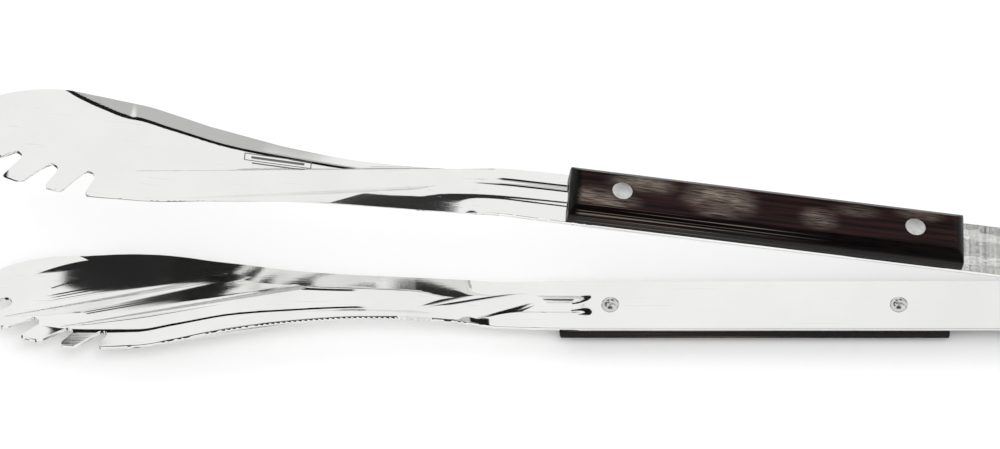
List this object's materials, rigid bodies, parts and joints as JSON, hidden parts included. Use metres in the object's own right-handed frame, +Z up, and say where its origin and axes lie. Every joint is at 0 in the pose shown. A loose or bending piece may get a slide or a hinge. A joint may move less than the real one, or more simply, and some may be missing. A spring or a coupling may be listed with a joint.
{
  "type": "sprung barbecue tongs",
  "caption": "Long one-piece sprung steel tongs with toothed scoop tips, a U-shaped spring bow and riveted wooden grips.",
  "frame": {"origin": "centre of the lower grip's flat outer face, which is the face the tongs lie on", "axes": "+X from the tips towards the spring bow along the lower arm, +Z up from the lower arm towards the upper one, +Y across the arms away from the toothed edge"},
  "size_m": [0.4255, 0.0411, 0.1089],
  "materials": {
    "steel": "polished stainless sheet",
    "wood": "dark red-brown laminated wood, satin",
    "rivet": "satin"
  },
  "bodies": {
    "lower_side": {"lower_arm": "steel", "lower_grip": "wood", "lower_front_rivet": "rivet", "lower_rear_rivet": "rivet", "spring_bow": "steel"},
    "upper_side": {"upper_arm": "steel", "upper_grip": "wood", "upper_front_rivet": "rivet", "upper_rear_rivet": "rivet"}
  },
  "joints": [
    {"name": "squeeze", "type": "hinge", "parent": "lower_side", "child": "upper_side", "pos_m": [0.143, 0, 0.018], "axis": [0, -1, 0], "range_deg": [-3, 12.6], "stiffness_Nm_per_rad": 10, "springref_deg": -1.51, "deforming": ["spring_bow"]}
  ]
}
